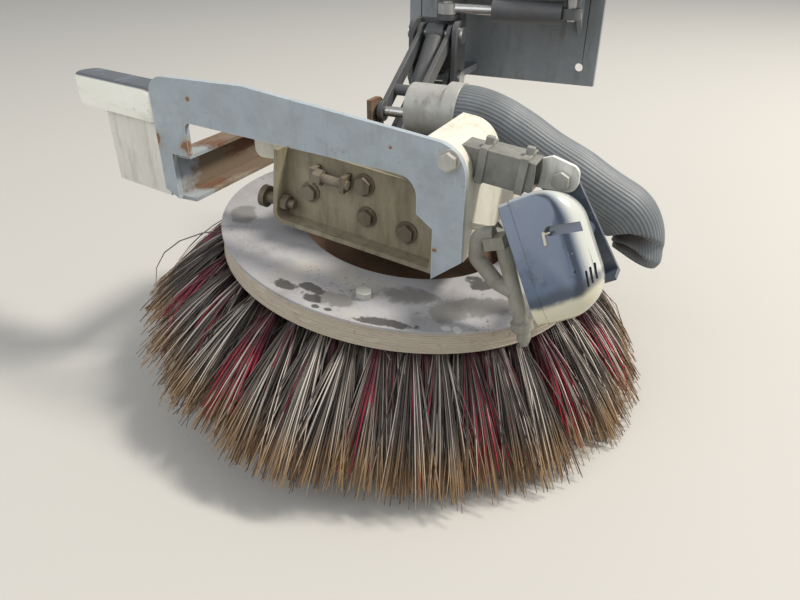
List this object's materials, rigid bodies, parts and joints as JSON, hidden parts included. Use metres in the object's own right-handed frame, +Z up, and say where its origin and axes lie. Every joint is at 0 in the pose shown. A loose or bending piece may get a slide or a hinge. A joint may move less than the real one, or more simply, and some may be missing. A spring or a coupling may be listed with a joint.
{
  "type": "street sweeper side brush unit",
  "caption": "Side brush unit of a compact street sweeper: a tilted wire brush on a lifting and swinging arm, with guard plate, motor bracket, work lamp, spray pipe and air duct.",
  "frame": {"origin": "centre of the four chassis bolt holes, on the mount plate's outer face", "axes": "+X forward along the vehicle, +Y inward to the chassis, along the bolts, +Z up"},
  "size_m": [0.8471, 0.8235, 0.5405],
  "materials": {
    "arm_black": "black paint and tape",
    "beam_steel": "rust-stained paint",
    "bracket_paint": "dirty olive-grey paint",
    "bristles": "worn wire and dyed strands in laminated plywood",
    "cap_plastic": "weathered pale moulding",
    "chassis_paint": "dark satin paint",
    "clamp_steel": "stained steel",
    "cover_plate": "dirty grey sheet",
    "duct_rubber": "weathered ribbed rubber",
    "guard_paint": "weathered blue-grey paint",
    "lamp_glass": "clear",
    "lamp_paint": "worn glossy blue-grey",
    "motor_black": "black paint",
    "rod_chrome": "hard chrome",
    "rusty_steel": "rusted",
    "side_paint": "pale weathered paint",
    "spray_plastic": "limescale-stained pipe",
    "zinc_bolts": "dull zinc"
  },
  "bodies": {
    "chassis_bracket": {"mount_plate": "chassis_paint", "top_plate": "chassis_paint", "kingpin_ear": "chassis_paint", "gusset_left": "chassis_paint", "gusset_right": "chassis_paint", "kingpin": "rod_chrome", "swing_foot_pin": "rod_chrome"},
    "carrier": {"swing_carrier": "chassis_paint", "swing_lever": "chassis_paint", "swing_lever_pin": "rod_chrome", "inner_pin_low": "rod_chrome", "inner_pin_high": "rod_chrome"},
    "link_low": {"lift_link_low": "chassis_paint"},
    "link_high": {"lift_link_high": "chassis_paint"},
    "lift_barrel": {"lift_cylinder": "chassis_paint"},
    "lift_piston": {"lift_rod": "rod_chrome"},
    "swing_barrel": {"swing_cylinder": "chassis_paint"},
    "swing_piston": {"swing_rod": "rod_chrome"},
    "brush_frame": {"air_duct": "duct_rubber", "arm_sleeve": "arm_black", "bracket_bolts": "zinc_bolts", "cap_bracket": "beam_steel", "channel_beam": "beam_steel", "cross_tube": "beam_steel", "duct_clamp": "clamp_steel", "duct_post": "side_paint", "duct_stub": "clamp_steel", "frame_rib_left": "beam_steel", "frame_rib_right": "beam_steel", "guard_bolt": "zinc_bolts", "guard_plate": "guard_paint", "hanger_plate": "side_paint", "lamp_arm": "arm_black", "lamp_ear": "clamp_steel", "link_lug_left": "beam_steel", "link_lug_right": "beam_steel", "motor": "motor_black", "motor_bracket": "bracket_paint", "outer_pin_high": "rod_chrome", "outer_pin_low": "rod_chrome", "rear_board": "guard_paint", "rear_cap": "cap_plastic", "side_bolt": "zinc_bolts", "side_plate": "side_paint", "sleeve_clamps": "clamp_steel", "spray_bracket": "side_paint", "spray_hose": "spray_plastic", "spray_pipe": "spray_plastic", "tilt_adjuster": "zinc_bolts"},
    "brush": {"brush_ring_and_bristles": "bristles", "brush_cover": "cover_plate", "brush_carrier_disc": "rusty_steel", "motor_shaft": "rusty_steel", "brush_bolts": "zinc_bolts"},
    "lamp_head": {"lamp_yoke": "lamp_paint", "lamp_bolt": "zinc_bolts", "lamp_lens": "lamp_glass", "lamp_bezel": "lamp_paint", "lamp_housing": "lamp_paint", "lamp_clip": "zinc_bolts"}
  },
  "joints": [
    {"name": "swing", "type": "hinge", "parent": "chassis_bracket", "child": "carrier", "pos_m": [-0.07, -0.077, -0.01], "axis": [0, 0, 1], "range_deg": [-12, 18]},
    {"name": "lift", "type": "hinge", "parent": "carrier", "child": "link_low", "pos_m": [-0.07, -0.142, -0.08], "axis": [-1, 0, 0], "range_deg": [0, 35]},
    {"name": "lift_high", "type": "hinge", "parent": "carrier", "child": "link_high", "pos_m": [-0.07, -0.142, -0.01], "axis": [-1, 0, 0], "range_deg": [-0.5, 35.5]},
    {"name": "frame_level", "type": "hinge", "parent": "link_low", "child": "brush_frame", "pos_m": [-0.07, -0.297, -0.178], "axis": [-1, 0, 0], "range_deg": [-35.5, 0.5]},
    {"name": "brush_spin", "type": "hinge", "parent": "brush_frame", "child": "brush", "pos_m": [0.01, -0.442, -0.263], "axis": [0.1219, 0, 0.9925], "continuous": true},
    {"name": "lamp_tilt", "type": "hinge", "parent": "brush_frame", "child": "lamp_head", "pos_m": [0.245, -0.534, -0.093], "axis": [0, 1, 0], "range_deg": [-12, 0]},
    {"name": "lift_foot", "type": "hinge", "parent": "carrier", "child": "lift_barrel", "pos_m": [-0.07, -0.142, -0.01], "axis": [-1, 0, 0], "range_deg": [-0.5, 28.93]},
    {"name": "lift_stroke", "type": "slide", "parent": "lift_barrel", "child": "lift_piston", "axis": [0, -0.6781, -0.735], "range_m": [-0.03542, 0.001]},
    {"name": "swing_foot", "type": "hinge", "parent": "chassis_bracket", "child": "swing_barrel", "pos_m": [0.145, -0.112, 0.029], "axis": [0, 0, 1], "range_deg": [-1.53, 1.19]},
    {"name": "swing_stroke", "type": "slide", "parent": "swing_barrel", "child": "swing_piston", "axis": [-0.9935, -0.1142, 0], "range_m": [-0.01919, 0.01313]}
  ],
  "couplings": [
    {"joint": "lift_high", "follows": "lift", "ratio": 1},
    {"joint": "frame_level", "follows": "lift", "ratio": -1},
    {"joint": "lift_foot", "follows": "lift", "ratio": 0.8122},
    {"joint": "lift_stroke", "follows": "lift", "m_per_rad": -0.056347},
    {"joint": "swing_foot", "follows": "swing", "ratio": -0.0574},
    {"joint": "swing_stroke", "follows": "swing", "m_per_rad": -0.057898}
  ]
}
